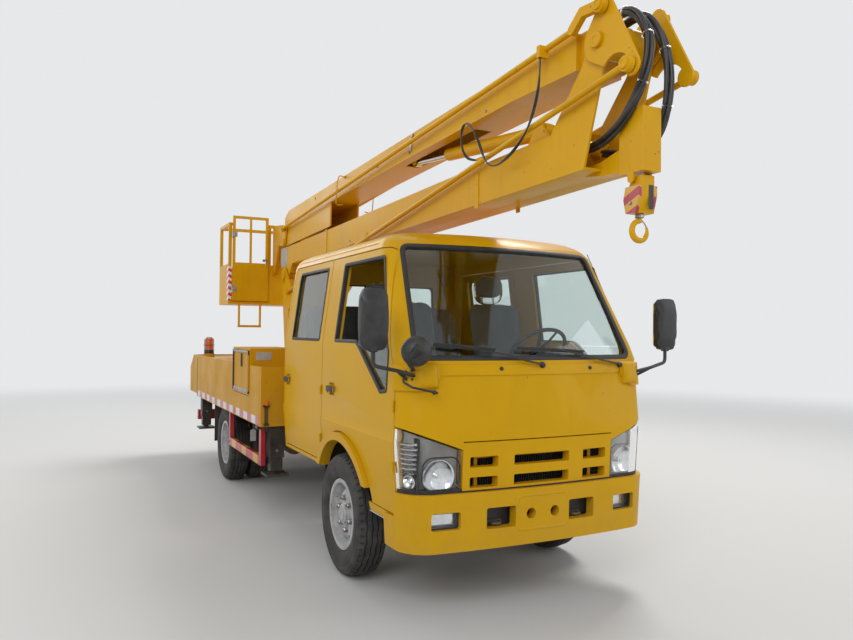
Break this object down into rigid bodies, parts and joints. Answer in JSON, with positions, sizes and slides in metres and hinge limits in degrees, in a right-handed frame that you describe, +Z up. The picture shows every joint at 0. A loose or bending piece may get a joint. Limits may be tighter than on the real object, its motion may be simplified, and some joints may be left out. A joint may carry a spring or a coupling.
{
  "type": "folding-arm aerial work truck",
  "caption": "Light crew-cab truck with a slewing turret, a two-part folding boom, a levelled work basket at the rear and jack legs.",
  "frame": {"origin": "on the ground under the centre of the overall box", "axes": "+Y towards the tail, +X towards the vehicle left side, +Z up; the cab faces -Y"},
  "size_m": [2.17, 7.1249, 3.15],
  "materials": {
    "yellow_paint": "gloss golden yellow cab and deck paint",
    "boom_paint": "gloss golden yellow boom paint",
    "chassis_black": "satin black chassis paint",
    "guard_paint": "gloss red with yellow bands",
    "cast_grey": "rough cast",
    "exhaust_steel": "heat dulled",
    "wheel_silver": "silver wheel paint",
    "tyre_rubber": "dusty black",
    "flap_rubber": "matte",
    "hose_rubber": "smooth black hose",
    "cab_glass": "lightly tinted",
    "lamp_lens": "clear lamp lens",
    "dash_plastic": "grained grey",
    "black_plastic": "grained black",
    "seat_fabric": "woven grey under clear film",
    "chrome_rod": "polished hard chrome"
  },
  "bodies": {
    "root": {"chassis_frame": "chassis_black", "front_axle": "chassis_black", "rear_axle": "chassis_black", "engine": "cast_grey", "fuel_tank": "chassis_black", "exhaust": "exhaust_steel", "cab_body": "yellow_paint", "cab_roof": "yellow_paint", "front_panel": "yellow_paint", "cab_glass": "cab_glass", "dashboard": "dash_plastic", "seats": "seat_fabric", "bumper": "yellow_paint", "grille": "yellow_paint", "lamps": "lamp_lens", "mirrors": "black_plastic", "deck": "yellow_paint", "control_cabinet": "yellow_paint", "guards": "guard_paint", "mud_flaps": "flap_rubber", "outrigger_frame": "chassis_black"},
    "door_front_left": {"front_door_left": "yellow_paint", "front_door_glass_left": "cab_glass"},
    "door_front_right": {"front_door_right": "yellow_paint", "quarter_panel_right": "cab_glass"},
    "door_rear_left": {"rear_door_left": "yellow_paint", "rear_door_glass_left": "cab_glass"},
    "door_rear_right": {"rear_door_right": "yellow_paint", "rear_door_glass_right": "cab_glass"},
    "cabinet_lid": {"cabinet_door": "yellow_paint"},
    "steering_left": {"steering_knuckle_left": "cast_grey"},
    "steering_right": {"steering_knuckle_right": "cast_grey"},
    "wheel_front_left": {"front_tyre_left": "tyre_rubber", "front_rim_left": "wheel_silver"},
    "wheel_front_right": {"front_tyre_right": "tyre_rubber", "front_rim_right": "wheel_silver"},
    "wheels_rear_left": {"rear_tyres_left": "tyre_rubber", "rear_rims_left": "wheel_silver"},
    "wheels_rear_right": {"rear_tyres_right": "tyre_rubber", "rear_rims_right": "wheel_silver"},
    "jack_front_left": {"outrigger_leg_front_left": "chassis_black"},
    "jack_front_right": {"outrigger_leg_front_right": "chassis_black"},
    "jack_rear_left": {"outrigger_leg_rear_left": "chassis_black"},
    "jack_rear_right": {"outrigger_leg_rear_right": "chassis_black"},
    "turret": {"turret": "boom_paint"},
    "luff_barrel": {"luff_barrel": "boom_paint"},
    "luff_rod": {"luff_rod": "chrome_rod"},
    "lower_boom": {"lower_boom": "boom_paint", "near_hose": "hose_rubber", "far_hose": "hose_rubber", "side_cable": "hose_rubber"},
    "elbow_links": {"elbow_links": "boom_paint"},
    "lower_tie_rods": {"lower_tie_rods": "boom_paint"},
    "upper_boom": {"upper_boom": "boom_paint"},
    "upper_tie_rods": {"upper_tie_rods": "boom_paint"},
    "fold_barrel": {"fold_barrel": "boom_paint"},
    "fold_rod": {"fold_rod": "chrome_rod"},
    "basket": {"basket": "boom_paint"},
    "basket_gate": {"basket_gate": "boom_paint"},
    "hook": {"hook": "boom_paint"}
  },
  "joints": [
    {"name": "front_door_left_hinge", "type": "hinge", "parent": "root", "child": "door_front_left", "pos_m": [0.841, -2.4255, 1.2], "axis": [0, 0, -1], "range_deg": [0, 70]},
    {"name": "rear_door_left_hinge", "type": "hinge", "parent": "root", "child": "door_rear_left", "pos_m": [0.841, -1.1885, 1.2], "axis": [0, 0, -1], "range_deg": [0, 70]},
    {"name": "steering_left", "type": "hinge", "parent": "root", "child": "steering_left", "pos_m": [0.63, -1.5875, 0.385], "axis": [0, 0, 1], "range_deg": [-35, 35]},
    {"name": "front_wheel_left_spin", "type": "hinge", "parent": "steering_left", "child": "wheel_front_left", "pos_m": [0.745, -1.5875, 0.385], "axis": [1, 0, 0], "continuous": true},
    {"name": "rear_wheels_left_spin", "type": "hinge", "parent": "root", "child": "wheels_rear_left", "pos_m": [0.699, 1.7725, 0.385], "axis": [1, 0, 0], "continuous": true},
    {"name": "front_door_right_hinge", "type": "hinge", "parent": "root", "child": "door_front_right", "pos_m": [-0.841, -2.4255, 1.2], "axis": [0, 0, 1], "range_deg": [0, 70]},
    {"name": "rear_door_right_hinge", "type": "hinge", "parent": "root", "child": "door_rear_right", "pos_m": [-0.841, -1.1885, 1.2], "axis": [0, 0, 1], "range_deg": [0, 70]},
    {"name": "steering_right", "type": "hinge", "parent": "root", "child": "steering_right", "pos_m": [-0.63, -1.5875, 0.385], "axis": [0, 0, 1], "range_deg": [-35, 35]},
    {"name": "front_wheel_right_spin", "type": "hinge", "parent": "steering_right", "child": "wheel_front_right", "pos_m": [-0.745, -1.5875, 0.385], "axis": [1, 0, 0], "continuous": true},
    {"name": "rear_wheels_right_spin", "type": "hinge", "parent": "root", "child": "wheels_rear_right", "pos_m": [-0.699, 1.7725, 0.385], "axis": [1, 0, 0], "continuous": true},
    {"name": "cabinet_door_hinge", "type": "hinge", "parent": "root", "child": "cabinet_lid", "pos_m": [-0.987, 0.3465, 1.2], "axis": [0, 0, 1], "range_deg": [0, 110]},
    {"name": "jack_front_left_extend", "type": "slide", "parent": "root", "child": "jack_front_left", "axis": [0, 0, -1], "range_m": [0, 0.43]},
    {"name": "jack_front_right_extend", "type": "slide", "parent": "root", "child": "jack_front_right", "axis": [0, 0, -1], "range_m": [0, 0.43]},
    {"name": "jack_rear_left_extend", "type": "slide", "parent": "root", "child": "jack_rear_left", "axis": [0, 0, -1], "range_m": [0, 0.43]},
    {"name": "jack_rear_right_extend", "type": "slide", "parent": "root", "child": "jack_rear_right", "axis": [0, 0, -1], "range_m": [0, 0.43]},
    {"name": "turret_slew", "type": "hinge", "parent": "root", "child": "turret", "pos_m": [0, 1.8625, 1.25], "axis": [0, 0, 1], "continuous": true},
    {"name": "lower_boom_luff", "type": "hinge", "parent": "turret", "child": "lower_boom", "pos_m": [0, 2.2125, 2.18], "axis": [-1, 0, 0], "range_deg": [0, 75], "deforming": ["near_hose", "far_hose", "side_cable"]},
    {"name": "luff_barrel_pivot", "type": "hinge", "parent": "turret", "child": "luff_barrel", "pos_m": [0, 1.5625, 1.5], "axis": [-1, 0, 0], "range_deg": [0, 66.43]},
    {"name": "luff_rod_extend", "type": "slide", "parent": "luff_barrel", "child": "luff_rod", "axis": [0, -0.8841, 0.4673], "range_m": [0, 1.108]},
    {"name": "lower_tie_rods_pivot", "type": "hinge", "parent": "turret", "child": "lower_tie_rods", "pos_m": [0, 1.9805, 1.987], "axis": [-1, 0, 0], "range_deg": [0, 75]},
    {"name": "elbow_links_level", "type": "hinge", "parent": "lower_boom", "child": "elbow_links", "pos_m": [0, -3.2825, 2.955], "axis": [-1, 0, 0], "range_deg": [-75, 0], "deforming": ["near_hose", "far_hose", "side_cable"]},
    {"name": "upper_boom_fold", "type": "hinge", "parent": "elbow_links", "child": "upper_boom", "pos_m": [0, -3.2825, 2.955], "axis": [1, 0, 0], "range_deg": [0, 85], "deforming": ["near_hose", "far_hose", "side_cable"]},
    {"name": "upper_tie_rods_pivot", "type": "hinge", "parent": "elbow_links", "child": "upper_tie_rods", "pos_m": [0, -3.3305, 3.1], "axis": [1, 0, 0], "range_deg": [0, 85]},
    {"name": "fold_barrel_pivot", "type": "hinge", "parent": "lower_boom", "child": "fold_barrel", "pos_m": [0, -2.6475, 2.69], "axis": [1, 0, 0], "range_deg": [0, 92.23]},
    {"name": "fold_rod_extend", "type": "slide", "parent": "fold_barrel", "child": "fold_rod", "axis": [0, 0.995, 0.1001], "range_m": [0, 0.9064]},
    {"name": "basket_level", "type": "hinge", "parent": "upper_boom", "child": "basket", "pos_m": [0, 2.2625, 2.572], "axis": [1, 0, 0], "range_deg": [-85, 0]},
    {"name": "basket_gate_hinge", "type": "hinge", "parent": "basket", "child": "basket_gate", "pos_m": [-0.654, 2.7045, 2.3], "axis": [0, 0, -1], "range_deg": [0, 95]},
    {"name": "hook_hang", "type": "hinge", "parent": "lower_boom", "child": "hook", "pos_m": [0, -3.3875, 2.282], "axis": [-1, 0, 0], "range_deg": [-75, 0]}
  ],
  "couplings": [
    {"joint": "steering_right", "follows": "steering_left", "ratio": 1},
    {"joint": "luff_barrel_pivot", "follows": "lower_boom_luff", "ratio": 0.87911},
    {"joint": "luff_rod_extend", "follows": "lower_boom_luff", "m_per_rad": 0.83882},
    {"joint": "lower_tie_rods_pivot", "follows": "lower_boom_luff", "ratio": 1},
    {"joint": "elbow_links_level", "follows": "lower_boom_luff", "ratio": -1},
    {"joint": "hook_hang", "follows": "lower_boom_luff", "ratio": -1},
    {"joint": "upper_tie_rods_pivot", "follows": "upper_boom_fold", "ratio": 1},
    {"joint": "basket_level", "follows": "upper_boom_fold", "ratio": -1},
    {"joint": "fold_barrel_pivot", "follows": "upper_boom_fold", "ratio": 1.0792},
    {"joint": "fold_rod_extend", "follows": "upper_boom_fold", "m_per_rad": 0.60424}
  ]
}
